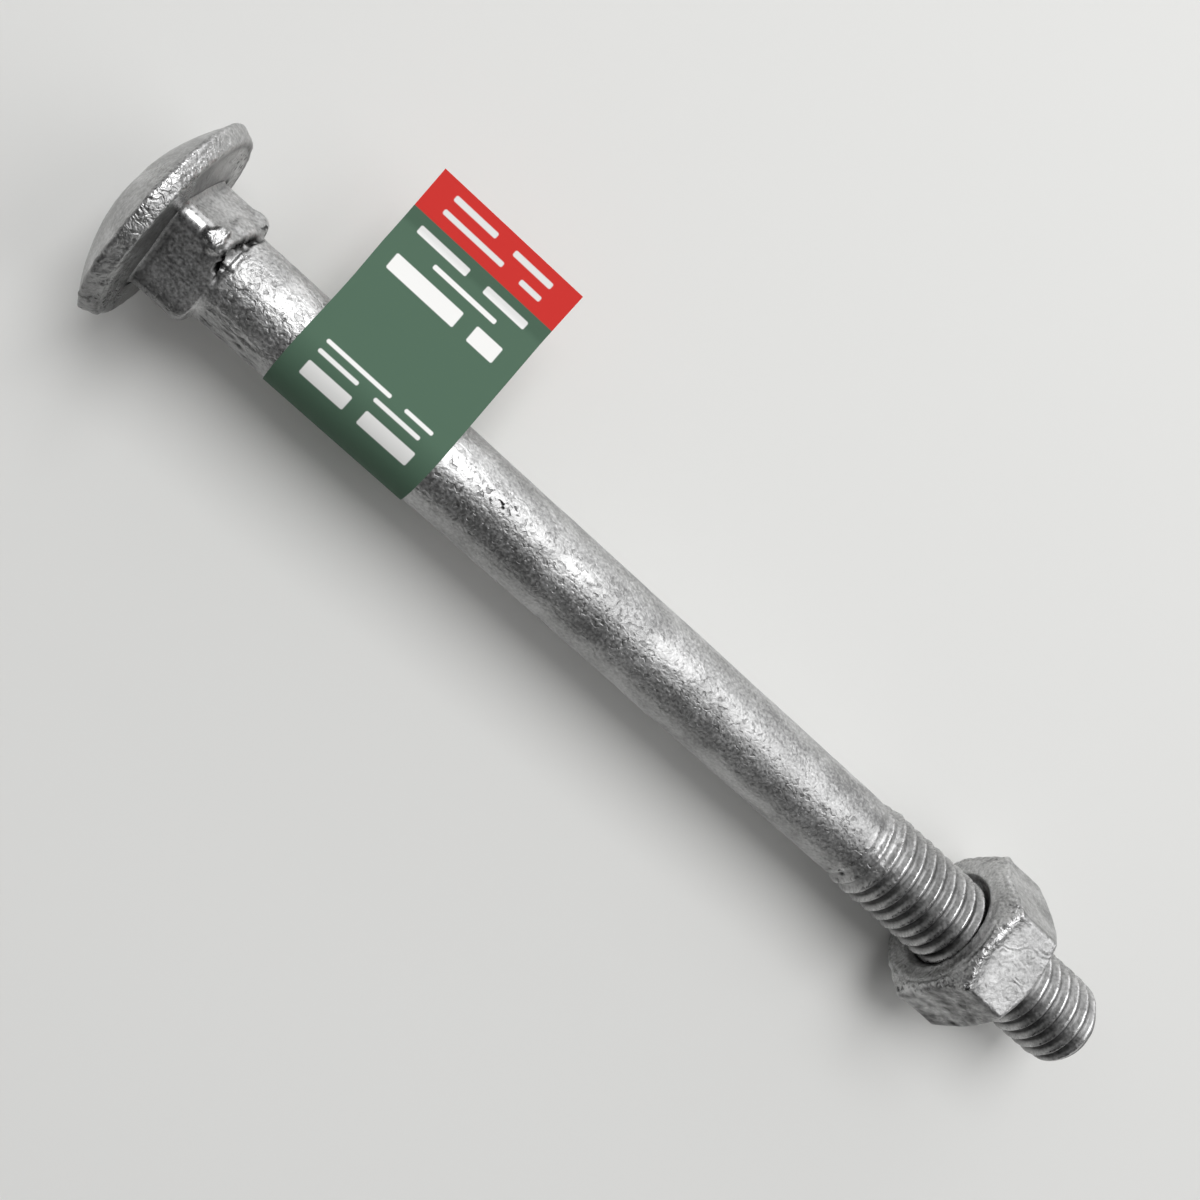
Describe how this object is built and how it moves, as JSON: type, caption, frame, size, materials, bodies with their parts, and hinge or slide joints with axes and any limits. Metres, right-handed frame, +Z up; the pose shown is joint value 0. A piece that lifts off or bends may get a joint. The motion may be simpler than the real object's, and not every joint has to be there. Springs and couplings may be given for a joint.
{
  "type": "carriage bolt",
  "caption": "Galvanised cup head bolt with a square neck, a hexagon nut on its threaded end and a folded flag label round its shank.",
  "frame": {"origin": "centre of the head's flat bearing face, on the bolt's axis", "axes": "+X along the bolt's axis from the head to the threaded tip, +Z up as the bolt lies on a surface with one flat of the nut underneath, +Y towards the label's flag"},
  "size_m": [0.1249, 0.0305, 0.0212],
  "materials": {
    "galvanised_steel": "hot-dip galvanised, dull and grainy",
    "galvanised_nut": "hot-dip galvanised, grainy",
    "label_paper": "printed paper, matt"
  },
  "bodies": {
    "bolt": {"bolt": "galvanised_steel", "flag_label": "label_paper"},
    "nut": {"nut": "galvanised_nut"}
  },
  "joints": [
    {"name": "nut_travel", "type": "slide", "parent": "bolt", "child": "nut", "axis": [1, 0, 0], "range_m": [-0.0105, 0.018]}
  ]
}
